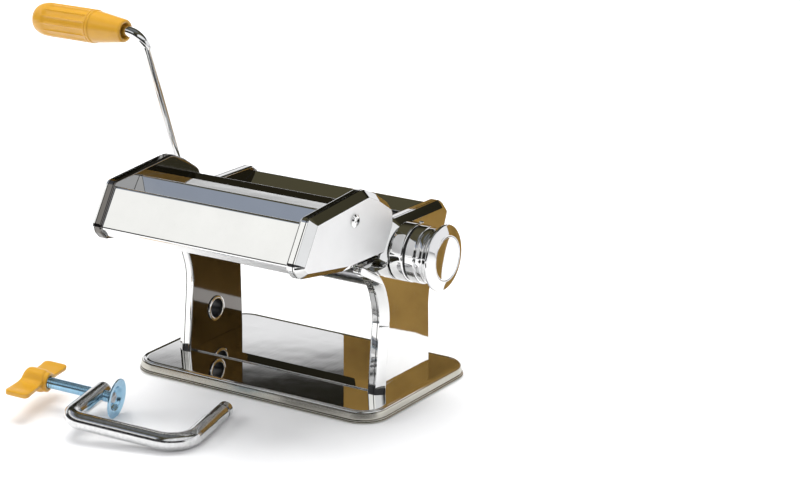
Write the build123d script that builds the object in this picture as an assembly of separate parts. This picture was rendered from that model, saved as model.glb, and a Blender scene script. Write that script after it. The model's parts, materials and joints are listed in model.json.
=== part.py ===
from build123d import *
import math
import os

os.makedirs("parts", exist_ok=True)

# Frame: +X towards the thickness knob, +Y away from the cutter attachment, +Z up.
# The origin is the centre of the base, on the surface that it stands on. Millimetres.
# A pair of numbers is a place across the machine, as Y and Z.

# Base
BASE_W = 205.0
BASE_D = 131.0
BASE_H = 8.0
BASE_CORNER = 20.0
BASE_INSET = 2.3
BASE_WALL = 1.0
PAD_TOP = 2.6
PAD_GAP = 0.3

# Side frames: an inner flanged plate and an outer pressed cover on each side
PLATE_X = 75.0
PLATE_T = 1.2
SEAM_X = 80.0
SEAM_GAP = 0.6
COVER_X = 87.0
COVER_WALL = 1.0
BEVEL_INSET = 4.5
FOOT_SCREW_X = 80.5
FOOT_SCREW_Y = (-10.0, 14.0)
CLAMP_HOLE = (1.8, 32.0)
CLAMP_HOLE_R = 6.75
SLEEVE_R = 7.8
TIE_RODS = ((-18.0, 88.0), (38.5, 91.5), (45.6, 112.6))
TIE_R = 4.0
TIE_END_R = 2.5
LOCATING_PIN = (-36.0, 103.5)

# Rollers
ROLLER_R = 13.0
ROLLER_BORE = 10.5
ROLLER_LEN = 147.0
ROLLER_Z = 104.8
KNOB_Y = -2.4
ECCENTRICITY = 1.25
WIDEST_GAP = 3.0
FRONT_Y = KNOB_Y - ECCENTRICITY
REAR_Y = FRONT_Y + 2 * ROLLER_R + WIDEST_GAP
RUNNING = 0.05
AXLE_R = 6.0
BUSH_R = 7.0
JOURNAL_R = 4.5
SQUARE = 6.36
BRIDGE_X = (-85.2, -83.7)
SPACERS = ((11.0, 119.0), (11.0, 90.6))

# Gears in the left housing
GEAR_TEETH = 11
GEAR_PITCH_R = ROLLER_R + 0.25
GEAR_ADDENDUM = 2.3
GEAR_X = -82.6
TOOTH_SHARES = (0.24, 0.15, 0.06)
GEAR_W = 5.0

# Knob
POINTER = (20.2, 118.2)
INDEX_R = 14.0
INDEX_STEPS = 9
INDEX_TURN = 180.0

# Crank
CRANK_R = 3.75
CRANK_ARM_X = -117.0
CRANK_LEN = 135.6
CRANK_TILT = 20.3
CRANK_BEND = 12.0
CRANK_INSERT_X = -69.0
SOCKET_R = CRANK_R + 0.08
SOCKET_OUT_R = 6.7
SOCKET_MOUTH_X = -87.6
EAR_SPAN = 12.0
EAR_T = 2.5
GRIP_START_X = -131.0
GRIP_END_X = -210.0
GRIP_R = 12.0

# Cutter attachment
CUT_SLIDE = (0.0, 0.5335, 0.8458)
CUT_DISC_R = 10.0
CUT_ROOT_R = 8.2
CUT_SPACING = 18.6
CUT_SHAFT_R = 4.0
WIDE_PAIR = (-94.0, 127.0)
NARROW_PAIR = (-42.0, 121.0)
CUT_GEAR_TEETH = 12
CUT_SOCKETS = (1, 2)
CUT_SOCKET_R = 6.4
CAP_SCREW = (-62.6, 140.9)
CUT_TIES = ((-62.6, 140.9, 3.5), (-115.5, 122.5, 2.5), (-19.2, 129.5, 2.5))
COMB_OFFSET = 3.0
WIDE = (13.0, 6.2)
NARROW = (4.0, 1.8)

# Table clamp, lying in front of the base
BAR_R = 6.0
CLAMP_YAW = 13.4
CLAMP_TILT = 6.0
CLAMP_CORNER = (24.9, -169.6, 6.0)
CLAMP_LONG = 83.0
CLAMP_KEY_ARM = 71.4
CLAMP_EYE_ARM = 59.5
CLAMP_EYE = 46.0
CLAMP_DISC = 12.4
CLAMP_WING = 45.0
DISC_R = 13.75
SCREW_R = 4.0


def save(shape, node):
    shape.label = node
    export_step(shape, f"parts/{node}.step")


def rounded(points, radii):
    """Closed outline through the points, each corner rounded by its own radius, on the YZ plane."""
    arcs = []
    for at, (corner, radius) in enumerate(zip(points, radii)):
        here = Vector(*corner)
        before = (Vector(*points[at - 1]) - here).normalized()
        after = (Vector(*points[(at + 1) % len(points)]) - here).normalized()
        half = math.radians(before.get_angle(after)) / 2
        reach = radius / math.tan(half)
        middle = here + (before + after).normalized() * radius * (1 / math.sin(half) - 1)
        arcs.append((here + before * reach, middle, here + after * reach))
    with BuildSketch(Plane.YZ) as sketch:
        with BuildLine():
            for at, (start, middle, stop) in enumerate(arcs):
                if radii[at] > 0:
                    ThreePointArc(start, middle, stop)
                Line(stop, arcs[(at + 1) % len(arcs)][0])
        make_face()
    return sketch.sketch


def prism(face, x0, x1):
    """The YZ outline as a straight block from x0 to x1."""
    return extrude(Pos(x0, 0, 0) * face, amount=x1 - x0, dir=(1, 0, 0))


def rod(x0, x1, y, z, radius):
    """A round bar along X."""
    return Pos((x0 + x1) / 2, y, z) * Rot(0, 90, 0) * Cylinder(radius, abs(x1 - x0))


def tube(x0, x1, y, z, outer, inner):
    return rod(x0, x1, y, z, outer) - rod(x0 - 1, x1 + 1, y, z, inner)


def turned(profile, x, y, z):
    """A solid of revolution about the X direction through (x, y, z): (distance along X, radius) pairs."""
    with BuildPart() as body:
        with BuildSketch(Plane.XY):
            with BuildLine():
                Polyline(*profile, close=True)
            make_face()
        revolve(axis=Axis.X)
    return Pos(x, y, z) * body.part


def bent_sheet(points, thickness, x0, x1, radius):
    """A sheet bent along the YZ points, with rounded bends, from x0 to x1."""
    line = FilletPolyline(*[(0, y, z) for y, z in points], radius=radius)
    outline = offset(line, thickness / 2, side=Side.BOTH)
    return extrude(Pos(x0, 0, 0) * make_face(outline), amount=x1 - x0, dir=(1, 0, 0))


def both_sides(part):
    return part, mirror(part, about=Plane.YZ)


# ---------------------------------------------------------------- outlines

def side_outline():
    """Rim of the leg and head of the machine's side, seen along X. The foot runs on below the base top."""
    points = [(-31, -2), (-24, 66), (-32, 90), (-48, 99), (-46, 103.5), (-25, 103.5), (-10, 127.5),
              (50, 126.5), (59, 120), (50, 100), (33.5, 66), (34.8, -2)]
    radii = [0, 45, 30, 2.2, 2, 3, 7, 6, 7, 25, 40, 0]
    return rounded(points, radii)


def cutter_outline():
    """Rim of the cutter attachment's end, seen along X. Its back edge runs beside the head's front edge."""
    points = [(-107, 152.5), (-44, 157), (-30, 150.5), (-12.5, 139), (-12.5, 125), (-24.6, 105.8),
              (-69, 107), (-118, 115), (-125.5, 123)]
    radii = [5.5, 14, 12, 9, 9, 5, 40, 6, 6]
    return rounded(points, radii)


def below_base_top():
    """Everything under the level where the legs stand on the base."""
    return Pos(0, 0, BASE_H - 25) * Box(300, 300, 50)


# ---------------------------------------------------------------- pressed sides

def flanged_plate(outline):
    """A sheet side plate at +X whose edge is flanged outwards as far as the seam."""
    pan = prism(outline, PLATE_X, SEAM_X)
    pan = fillet(pan.faces().sort_by(Axis.X)[0].edges(), 1.6)
    return pan - prism(offset(outline, -PLATE_T), PLATE_X + PLATE_T, SEAM_X + 1)


def bevelled_block(outline, x0, x1, skirt):
    """A block with a straight skirt and then a bevel that narrows to its outer face."""
    slope = math.degrees(math.atan2(BEVEL_INSET, x1 - x0 - skirt))
    band = prism(outline, x0, x0 + skirt)
    return band + extrude(Pos(x0 + skirt, 0, 0) * outline, amount=x1 - x0 - skirt, dir=(1, 0, 0), taper=slope)


def pressed_cover(outline):
    """A pressed sheet cover at +X with a skirt, a bevel and a flat face."""
    x0 = SEAM_X + SEAM_GAP
    skirt = 1.2
    shell = bevelled_block(outline, x0, COVER_X, skirt)
    shell = fillet(shell.faces().sort_by(Axis.X)[-1].edges(), 0.5)
    hollow = bevelled_block(offset(outline, -COVER_WALL), x0, COVER_X - COVER_WALL, skirt)
    return shell - hollow


def foot_tab():
    """The leg's inward foot, which the foot screws hold to the base."""
    tab = Pos(PLATE_X + 4.5, 2, BASE_H + 0.6) * Box(9, 36, 1.2)
    for y in FOOT_SCREW_Y:
        tab -= Pos(FOOT_SCREW_X, y, BASE_H) * Cylinder(2, 10)
    return tab


def index_position(step):
    """Place of one index hole, counted from the lowest one as the knob turns."""
    angle = math.radians(-90 + step * INDEX_TURN / (INDEX_STEPS - 1))
    return KNOB_Y + INDEX_R * math.cos(angle), ROLLER_Z + INDEX_R * math.sin(angle)


def side_plate(side):
    """Inner side plate; side is 1 for the knob side and -1 for the crank side."""
    plate = flanged_plate(side_outline()) - below_base_top() + foot_tab() - pin_along_slide(1.3, 6.4)
    for y, z in TIE_RODS:
        plate -= rod(PLATE_X - 1, PLATE_X + 3, y, z, TIE_END_R)
    if side > 0:
        plate -= rod(PLATE_X - 1, PLATE_X + 3, REAR_Y, ROLLER_Z, 7.0)
        plate -= rod(PLATE_X - 1, PLATE_X + 3, KNOB_Y, ROLLER_Z, 7.0)
        return plate
    plate -= rod(PLATE_X - 1, PLATE_X + 3, REAR_Y, ROLLER_Z, 8.5)
    plate -= rod(PLATE_X - 1, PLATE_X + 3, KNOB_Y, ROLLER_Z, 9.9)
    plate -= rod(PLATE_X - 1, PLATE_X + 3, *CLAMP_HOLE, SLEEVE_R)
    return mirror(plate, about=Plane.YZ)


def side_cover(side):
    cover = pressed_cover(side_outline()) - below_base_top()
    if side > 0:
        cover -= rod(COVER_X - 3, COVER_X + 1, KNOB_Y, ROLLER_Z, 6.0)
        cover -= rod(COVER_X - 3, COVER_X + 1, *POINTER, 1.5)
        for step in range(INDEX_STEPS):
            cover -= rod(COVER_X - 3, COVER_X + 1, *index_position(step), 1.6)
        return cover
    cover -= rod(COVER_X - 3, COVER_X + 1, REAR_Y, ROLLER_Z, 8.0)
    cover -= rod(COVER_X - 3, COVER_X + 1, *CLAMP_HOLE, SLEEVE_R)
    return mirror(cover, about=Plane.YZ)


def clamp_sleeve():
    """Bush through the left leg that takes the key end of the table clamp, with a rolled rim inside."""
    sleeve = tube(-COVER_X - 0.8, -PLATE_X + 1.2, *CLAMP_HOLE, SLEEVE_R, CLAMP_HOLE_R)
    rim = tube(-PLATE_X, -PLATE_X + 1.2, *CLAMP_HOLE, SLEEVE_R + 1.4, CLAMP_HOLE_R)
    return sleeve + fillet(rim.edges().filter_by(GeomType.CIRCLE).group_by(Axis.X)[-1], 0.4)


def knob_pointer():
    pin = rod(COVER_X - 1.5, COVER_X + 1.6, *POINTER, 1.5)
    return fillet(pin.faces().sort_by(Axis.X)[-1].edges(), 0.6)


# ---------------------------------------------------------------- base

def base_tray():
    """Pressed tray: a lip, a sloped band and a flat top with a shallow groove round it."""
    corner = BASE_CORNER
    lip = Pos(0, 0, 0.4) * extrude(RectangleRounded(BASE_W, BASE_D, corner), amount=1.4)
    step = Pos(0, 0, 1.8) * extrude(RectangleRounded(BASE_W - 1.2, BASE_D - 1.2, corner - 0.6), amount=0.8)
    slope = math.degrees(math.atan2(BASE_INSET - 0.6, BASE_H - 2.6))
    band_face = RectangleRounded(BASE_W - 1.2, BASE_D - 1.2, corner - 0.6)
    band = Pos(0, 0, 2.6) * extrude(band_face, amount=BASE_H - 2.6, taper=slope)
    tray = lip + step + band
    tray = fillet(tray.faces().sort_by(Axis.Z)[-1].edges(), 1.0)
    inside = RectangleRounded(BASE_W - 7, BASE_D - 7, corner - 3.5)
    tray -= extrude(inside, amount=BASE_H - BASE_WALL)
    skirt = RectangleRounded(BASE_W - 2.2, BASE_D - 2.2, corner - 1.1)
    tray -= extrude(skirt, amount=PAD_TOP + 0.2)
    groove = RectangleRounded(BASE_W - 11, BASE_D - 11, corner - 5)
    groove -= RectangleRounded(BASE_W - 12.6, BASE_D - 12.6, corner - 5.8)
    tray -= Pos(0, 0, BASE_H - 0.35) * extrude(groove, amount=1)
    for x, y in foot_screw_places():
        tray -= Pos(x, y, BASE_H) * Cylinder(2, 6)
    return tray


def base_pad():
    """Full non-slip pad inside the tray's skirt; its underside is what the machine stands on."""
    trim = 2.2 + 2 * PAD_GAP
    pad = extrude(RectangleRounded(BASE_W - trim, BASE_D - trim, BASE_CORNER - trim / 2), amount=PAD_TOP)
    return fillet(pad.faces().sort_by(Axis.Z)[0].edges(), 0.5)


def floor_plate():
    """Sheet across the base between the legs; its front edge slopes down to the tray."""
    points = [(-24.4, 8.45), (-14.0, 9.5), (35.0, 9.5)]
    return bent_sheet(points, 0.8, -PLATE_X, PLATE_X, 2.0)


def foot_screw_places():
    return [(side * FOOT_SCREW_X, y) for side in (-1, 1) for y in FOOT_SCREW_Y]


def foot_screws():
    head = Pos(0, 0, BASE_H - BASE_WALL - 1.1) * Cylinder(3.6, 2.2)
    shank = Pos(0, 0, BASE_H + 0.5) * Cylinder(2, 3 + 2 * BASE_WALL)
    return Compound(children=[Pos(x, y, 0) * (head + shank) for x, y in foot_screw_places()])


# ---------------------------------------------------------------- inside the head

def tie_rods():
    """Riveted bars that hold the two side plates at their distance."""
    half = PLATE_X
    out = half + PLATE_T
    profile = [(-out - 1.0, 0), (-out - 1.0, TIE_R), (-out, TIE_R), (-out, TIE_END_R), (-half, TIE_END_R),
               (-half, TIE_R), (half, TIE_R), (half, TIE_END_R), (out, TIE_END_R), (out, TIE_R),
               (out + 1.0, TIE_R), (out + 1.0, 0)]
    return Compound(children=[turned(profile, 0, y, z) for y, z in TIE_RODS])


def rear_hood():
    """Sheet behind the driven roller: its top slopes down to the feed and its back closes the head."""
    points = [(38.5, 117.0), (54.0, 123.4), (51.0, 111.0), (44.5, 98.5), (39.5, 96.5)]
    return bent_sheet(points, 1.0, -PLATE_X, PLATE_X, 2.0)


def front_hood():
    """Sheet in front of the adjustable roller, beside the cutter attachment."""
    points = [(-7.0, 121.8), (-12.2, 121.0), (-22.4, 104.8), (-19.0, 100.0)]
    return bent_sheet(points, 1.0, -PLATE_X, PLATE_X, 1.6)


def front_scraper():
    points = [(-21.0, 82.2), (-13.0, 82.9), (-9.7, 91.4)]
    return bent_sheet(points, 0.8, -72.5, 72.5, 1.2)


def rear_scraper():
    points = [(39.5, 83.2), (34.5, 84.0), (31.6, 92.2)]
    return bent_sheet(points, 0.8, -72.5, 72.5, 1.2)


def drive_bushes():
    """Bearings of the driven roller in the two side plates."""
    left = tube(-77.2, -74.0, REAR_Y, ROLLER_Z, 8.5, SOCKET_OUT_R + RUNNING)
    left += tube(-75.0, -74.0, REAR_Y, ROLLER_Z, 10.0, SOCKET_OUT_R + RUNNING)
    right = tube(74.0, 78.5, REAR_Y, ROLLER_Z, 7.0, 5.0 + RUNNING)
    right += tube(74.0, 75.0, REAR_Y, ROLLER_Z, 9.0, 5.0 + RUNNING)
    return Compound(children=[left, right])


def regulator_bushes():
    """Bearings of the eccentric axle: one in the gear bridge and one in the right side plate."""
    left = tube(-85.6, -83.4, KNOB_Y, ROLLER_Z, 6.5, JOURNAL_R + RUNNING)
    right = tube(74.2, 79.0, KNOB_Y, ROLLER_Z, 7.0, JOURNAL_R + RUNNING)
    right += tube(74.2, 75.0, KNOB_Y, ROLLER_Z, 8.5, JOURNAL_R + RUNNING)
    return Compound(children=[left, right])


def gear_bridge():
    """Outboard plate in the left housing that carries the outer ends of both roller shafts."""
    points = [(-12, 99), (-12, 110.6), (4, 122.2), (18, 122.2), (37, 110.6), (37, 99), (18, 87.4), (4, 87.4)]
    plate = prism(rounded(points, [5] * len(points)), *BRIDGE_X)
    plate -= rod(-87, -82, KNOB_Y, ROLLER_Z, 6.5)
    plate -= rod(-87, -82, REAR_Y, ROLLER_Z, SOCKET_OUT_R + RUNNING)
    return plate


def bridge_spacers():
    return Compound(children=[rod(-PLATE_X - PLATE_T, BRIDGE_X[1], y, z, 2.2) for y, z in SPACERS])


def pin_along_slide(radius, length):
    """A pin on the right nose, leaning along the way the cutter attachment lifts off."""
    lean = math.degrees(math.atan2(CUT_SLIDE[1], CUT_SLIDE[2]))
    return Pos(77.6, *LOCATING_PIN) * Rot(-lean, 0, 0) * Pos(0, 0, 1.6) * Cylinder(radius, length)


def locating_pins():
    """Pins on the noses of the side plates that the cutter attachment drops on to."""
    return Compound(children=list(both_sides(pin_along_slide(1.3, 6.4))))


# ---------------------------------------------------------------- gears

def gear_face(teeth, pitch_r, addendum, clearance):
    """Spur gear with straight tapered flanks and ample backlash, on the YZ plane, one tooth along +Y."""
    pitch = 2 * math.pi / teeth
    radii = (pitch_r - addendum - clearance, pitch_r, pitch_r + addendum)
    rings = list(zip(radii, TOOTH_SHARES))
    points = []
    for tooth in range(teeth):
        middle = tooth * pitch
        flank = [(radius, middle - share * pitch) for radius, share in rings]
        flank += [(radius, middle + share * pitch) for radius, share in reversed(rings)]
        points += [(radius * math.cos(a), radius * math.sin(a)) for radius, a in flank]
    with BuildSketch(Plane.YZ) as sketch:
        with BuildLine():
            Polyline(*points, close=True)
        make_face()
    return sketch.sketch


def gear(teeth, pitch_r, addendum, bore, x, width, y, z, turn):
    """A gear whose first tooth is turned from +Y by the given angle."""
    body = extrude(gear_face(teeth, pitch_r, addendum, 0.35), amount=width, dir=(1, 0, 0))
    body -= rod(-1, width + 1, 0, 0, bore)
    return Pos(x, y, z) * Rot(turn, 0, 0) * body


# ---------------------------------------------------------------- driven roller and crank

def socket_slot(x_mouth, y, z):
    """Cross slot in a socket's mouth, which takes the ears of the crank."""
    return Pos(x_mouth + 2.2, y, z) * Box(4.6, EAR_T + 0.6, 2 * SOCKET_OUT_R + 2)


def drive_shaft():
    profile = [(SOCKET_MOUTH_X, 0), (SOCKET_MOUTH_X, SOCKET_OUT_R), (-66, SOCKET_OUT_R), (-66, 5.0),
               (79, 5.0), (79, 0)]
    shaft = turned(profile, 0, REAR_Y, ROLLER_Z)
    shaft -= rod(SOCKET_MOUTH_X - 1, CRANK_INSERT_X + 1, REAR_Y, ROLLER_Z, SOCKET_R)
    return shaft - socket_slot(SOCKET_MOUTH_X, REAR_Y, ROLLER_Z)


def rear_roller():
    end = ROLLER_LEN / 2
    profile = [(-end, SOCKET_OUT_R), (-end, ROLLER_R - 0.5), (-end + 0.5, ROLLER_R), (end - 0.5, ROLLER_R),
               (end, ROLLER_R - 0.5), (end, 5.0), (66, 5.0), (66, ROLLER_BORE), (-66, ROLLER_BORE),
               (-66, SOCKET_OUT_R)]
    return turned(profile, 0, REAR_Y, ROLLER_Z)


def drive_gear():
    return gear(GEAR_TEETH, GEAR_PITCH_R, GEAR_ADDENDUM, SOCKET_OUT_R, GEAR_X, GEAR_W, REAR_Y, ROLLER_Z, 0)


def crank_top():
    """Y and Z of the grip's axis."""
    lean = math.radians(CRANK_TILT)
    return REAR_Y - CRANK_LEN * math.sin(lean), ROLLER_Z + CRANK_LEN * math.cos(lean)


def crank_rod():
    """One bent bar: socket end with two ears, arm, and the stub that the grip turns on."""
    y, z = crank_top()
    route = [(CRANK_INSERT_X, REAR_Y, ROLLER_Z), (CRANK_ARM_X, REAR_Y, ROLLER_Z), (CRANK_ARM_X, y, z),
             (GRIP_END_X + 8, y, z)]
    path = FilletPolyline(*route, radius=CRANK_BEND)
    bar = sweep(Plane(origin=route[0], z_dir=(-1, 0, 0)) * Circle(CRANK_R), path=path)
    ears = Pos(SOCKET_MOUTH_X + 2.4, REAR_Y, ROLLER_Z) * Box(3, EAR_T, EAR_SPAN)
    return bar + ears


def crank_grip():
    """Turned grip: counterbored small end, cone, fluted barrel and domed end."""
    y, z = crank_top()
    barrel = GRIP_START_X - 26
    profile = [(GRIP_START_X, 5.3), (GRIP_START_X, 7.6), (GRIP_START_X - 0.6, 8.0), (barrel, GRIP_R),
               (GRIP_END_X + 7, GRIP_R), (GRIP_END_X + 3, GRIP_R - 1.2), (GRIP_END_X + 0.8, GRIP_R - 4),
               (GRIP_END_X, GRIP_R - 7), (GRIP_END_X, 0), (GRIP_END_X + 5, 0), (GRIP_END_X + 5, SOCKET_R),
               (GRIP_START_X - 4, SOCKET_R), (GRIP_START_X - 4, 5.3)]
    grip = turned(profile, 0, y, z)
    flutes = 16
    for number in range(flutes):
        angle = 2 * math.pi * number / flutes
        centre = (y + (GRIP_R + 0.5) * math.cos(angle), z + (GRIP_R + 0.5) * math.sin(angle))
        grip -= rod(barrel - 5, GRIP_END_X + 12, *centre, 1.1)
    return grip


# ---------------------------------------------------------------- adjustable roller and knob

def eccentric_axle():
    """Axle whose middle is off the line of its two journals; the knob turns it by its square end."""
    ends = rod(-85.6, -83.2, KNOB_Y, ROLLER_Z, JOURNAL_R) + rod(73.9, 97.6, KNOB_Y, ROLLER_Z, JOURNAL_R)
    middle = rod(-83.2, 73.9, FRONT_Y, ROLLER_Z, AXLE_R)
    square = Pos((97.6 + 112) / 2, KNOB_Y, ROLLER_Z) * Box(112 - 97.6, SQUARE, SQUARE)
    return ends + middle + square


def axle_stop_ring():
    ring = tube(110.5, 112.0, KNOB_Y, ROLLER_Z, 7.5, 3)
    return ring - Pos(111, KNOB_Y, ROLLER_Z) * Box(6, SQUARE, SQUARE)


def front_roller():
    end = ROLLER_LEN / 2
    profile = [(-end, ROLLER_BORE), (-end, ROLLER_R - 0.5), (-end + 0.5, ROLLER_R), (end - 0.5, ROLLER_R),
               (end, ROLLER_R - 0.5), (end, ROLLER_BORE)]
    return turned(profile, 0, FRONT_Y, ROLLER_Z)


def front_roller_hubs():
    """Plugs in the ends of the adjustable roller; the left one carries its gear outside the plate."""
    inner = BUSH_R + RUNNING
    right = tube(60, ROLLER_LEN / 2, FRONT_Y, ROLLER_Z, ROLLER_BORE, inner)
    left = tube(-ROLLER_LEN / 2, -60, FRONT_Y, ROLLER_Z, ROLLER_BORE, inner)
    left += tube(GEAR_X, -ROLLER_LEN / 2, FRONT_Y, ROLLER_Z, 8.0, inner)
    return Compound(children=[left, right])


def front_roller_bushes():
    """Sleeves between the eccentric axle and the hubs, on which the adjustable roller spins."""
    inner = AXLE_R + RUNNING
    right = tube(58, ROLLER_LEN / 2, FRONT_Y, ROLLER_Z, BUSH_R, inner)
    left = tube(GEAR_X, -58, FRONT_Y, ROLLER_Z, BUSH_R, inner)
    return Compound(children=[left, right])


def front_gear():
    return gear(GEAR_TEETH, GEAR_PITCH_R, GEAR_ADDENDUM, 8.0, GEAR_X, GEAR_W, FRONT_Y, ROLLER_Z, 0)


def knob_skirt():
    """Cup of the knob, with the hub that slides on the axle's journal and square."""
    profile = [(87.8, 18.8), (87.8, 20.3), (97.7, 20.3), (98.2, 19.8), (98.2, 9.8), (99.5, 9.8), (99.5, 0),
               (97.9, 0), (97.9, JOURNAL_R + RUNNING), (90, JOURNAL_R + RUNNING), (90, 8), (96.6, 8),
               (96.6, 18.8)]
    cup = turned(profile, 0, KNOB_Y, ROLLER_Z)
    return cup - Pos(99, KNOB_Y, ROLLER_Z) * Box(6, SQUARE + 0.1, SQUARE + 0.1)


def knob_ring():
    return tube(98.2, 99.5, KNOB_Y, ROLLER_Z, 18.9, 9.8)


def knob_grip():
    """Stepped grip with its front flange, hollow for the spring and the stop ring."""
    profile = [(99.5, 9.6), (99.5, 19.3), (99.9, 19.8), (106.4, 19.8), (106.9, 19.3), (106.9, 18.5),
               (107.5, 18.5), (107.5, 19.0), (110.6, 19.0), (111.0, 18.6), (111.0, 17.6), (113.0, 17.6),
               (116.6, 21.6), (117.2, 22.8), (118.6, 22.8), (121.3, 16.3), (121.6, 15.9), (121.6, 15.1),
               (120.6, 15.1), (120.6, 0), (114, 0), (114, 9.6)]
    return turned(profile, 0, KNOB_Y, ROLLER_Z)


def knob_cap():
    profile = [(120.6, 0), (120.6, 15.1), (121.2, 15.1), (121.4, 14.6), (121.5, 0)]
    return turned(profile, 0, KNOB_Y, ROLLER_Z)


def knob_index_pin():
    pin = rod(COVER_X + 0.3, 96.6, *index_position(0), 1.3)
    return chamfer(pin.faces().sort_by(Axis.X)[0].edges(), 0.4)


def knob_spring():
    """Coil spring between the knob's hub and the stop ring."""
    coil = Helix(pitch=1.85, height=9.5, radius=5.9)
    wire = sweep(Plane(origin=coil @ 0, z_dir=coil % 0) * Circle(0.5), path=coil)
    return Pos(100.2, KNOB_Y, ROLLER_Z) * Rot(0, 90, 0) * wire


# ---------------------------------------------------------------- cutter attachment

def cut_axes():
    """Y and Z of the four cutting shafts, front to back."""
    half = CUT_SPACING / 2
    return [(y + side * half, z) for y, z in (WIDE_PAIR, NARROW_PAIR) for side in (-1, 1)]


def cutter_plate(side):
    """End plate of the cutter attachment, with bearings for the four shafts."""
    plate = flanged_plate(cutter_outline())
    for number, (y, z) in enumerate(cut_axes()):
        socket = side < 0 and number in CUT_SOCKETS
        plate -= rod(PLATE_X - 1, PLATE_X + 3, y, z, (CUT_SOCKET_R if socket else CUT_SHAFT_R) + RUNNING)
    plate -= rod(PLATE_X - 1, PLATE_X + 3, *CAP_SCREW, 2.0)
    plate -= pin_along_slide(1.8, 9)
    return plate if side > 0 else mirror(plate, about=Plane.YZ)


def cutter_cap(side):
    cap = pressed_cover(cutter_outline()) - rod(COVER_X - 3, COVER_X + 1, *CAP_SCREW, 2.0)
    if side > 0:
        return cap
    for number in CUT_SOCKETS:
        cap -= rod(COVER_X - 3, COVER_X + 1, *cut_axes()[number], 7.4)
    return mirror(cap, about=Plane.YZ)


def cutter_front_plate():
    points = [(-96.8, 137.6), (-105.9, 149.6), (-122.3, 123.8), (-117.0, 117.6), (-109.0, 115.6)]
    return bent_sheet(points, 1.0, -PLATE_X, PLATE_X, 1.6)


def cutter_middle_plate():
    points = [(-88.6, 139.6), (-80.5, 150.4), (-50.5, 144.2), (-47.4, 133.6)]
    return bent_sheet(points, 1.0, -PLATE_X, PLATE_X, 1.6)


def cutter_rear_plate():
    points = [(-34.6, 133.0), (-22.5, 138.8), (-15.2, 135.6), (-15.2, 126.3), (-25.2, 110.4)]
    return bent_sheet(points, 1.0, -PLATE_X, PLATE_X, 1.6)


def cutter_tie_rods():
    """Bars between the end plates; the upper one is tapped at both ends for the cap screws."""
    bars = [rod(-PLATE_X, PLATE_X, y, z, radius) for y, z, radius in CUT_TIES]
    for start in (-PLATE_X - 1, PLATE_X - 8):
        bars[0] -= rod(start, start + 9, *CAP_SCREW, 2.0)
    return Compound(children=bars)


def cap_screws():
    """Cross-head screws that hold the caps, with round heads."""
    head = turned([(COVER_X, 0), (COVER_X, 4.8), (COVER_X + 1.0, 4.6), (COVER_X + 1.9, 3.2),
                   (COVER_X + 2.1, 0)], 0, *CAP_SCREW)
    shank = rod(PLATE_X - 7, COVER_X, *CAP_SCREW, 2.0)
    cross = Pos(COVER_X + 2.1, *CAP_SCREW) * (Box(2, 1.1, 5) + Box(2, 5, 1.1))
    return Compound(children=list(both_sides(head + shank - cross)))


def disc_spans(pitch, width, offset_x):
    """Start and end along X of each cutting disc on one shaft."""
    end = ROLLER_LEN / 2
    count = int(end // pitch) + 1
    centres = [number * pitch + offset_x for number in range(-count, count + 1)]
    spans = [(max(c - width / 2, -end), min(c + width / 2, end)) for c in centres]
    return [(start, stop) for start, stop in spans if stop - start > width / 3]


def cutting_roller(number, pitch, width, offset_x):
    """One cutting shaft: discs, the grooves between them, and its journals or crank socket."""
    y, z = cut_axes()[number]
    end = ROLLER_LEN / 2
    socket = number in CUT_SOCKETS
    left_r = CUT_SOCKET_R if socket else CUT_SHAFT_R
    left_x = SOCKET_MOUTH_X if socket else -78.5
    profile = [(left_x, 0), (left_x, left_r), (-end, left_r), (-end, CUT_ROOT_R)]
    for start, stop in disc_spans(pitch, width, offset_x):
        profile += [(start, CUT_ROOT_R), (start, CUT_DISC_R), (stop, CUT_DISC_R), (stop, CUT_ROOT_R)]
    profile += [(end, CUT_ROOT_R), (end, CUT_SHAFT_R), (84.2, CUT_SHAFT_R), (84.2, 0)]
    clean = [point for at, point in enumerate(profile) if at == 0 or point != profile[at - 1]]
    roller = turned(clean, 0, y, z)
    if socket:
        roller -= rod(left_x - 1, -70, y, z, SOCKET_R)
        roller -= socket_slot(left_x, y, z)
    return roller


def comb(number, pitch, width, offset_x):
    """Upright comb under one cutting shaft, its teeth standing in the grooves between the discs."""
    y, z = cut_axes()[number]
    plane_y = y + COMB_OFFSET
    groove = z - math.sqrt(CUT_ROOT_R ** 2 - COMB_OFFSET ** 2)
    floor_z, bar_z, tip_z = z - 13.5, z - 10.4, groove - 0.5
    spans = disc_spans(pitch, width, offset_x)
    with BuildSketch(Plane.XZ) as sketch:
        with Locations((0, (floor_z + bar_z) / 2)):
            Rectangle(2 * PLATE_X, bar_z - floor_z)
        for (_, stop), (start, _) in zip(spans, spans[1:]):
            with Locations(((start + stop) / 2, (bar_z + tip_z) / 2)):
                Rectangle((start - stop) * 0.6, tip_z - bar_z)
    return Pos(0, plane_y + 0.5, 0) * extrude(sketch.sketch, amount=1.0)


def cutting_set(names, pair, spec):
    """Both cutting shafts of one set, their gears and their combs."""
    pitch, width = spec
    first = 2 * pair
    combs = []
    for place, offset_x in enumerate((0, pitch / 2)):
        number = first + place
        y, z = cut_axes()[number]
        turn = 180 / CUT_GEAR_TEETH * place
        save(cutting_roller(number, pitch, width, offset_x), f"{names[place]}_cutter")
        wheel = gear(CUT_GEAR_TEETH, CUT_SPACING / 2, 1.3, CUT_SHAFT_R, 77.4, 5.6, y, z, turn)
        save(wheel, f"{names[place]}_gear")
        combs.append(comb(number, pitch, width, offset_x))
    return Compound(children=combs)


# ---------------------------------------------------------------- table clamp

def clamp_place():
    """Clamp frame: origin at the corner by the key arm, long side along -X, arms along +Y."""
    return Pos(*CLAMP_CORNER) * Rot(0, 0, CLAMP_YAW) * Rot(0, CLAMP_TILT, 0)


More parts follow.
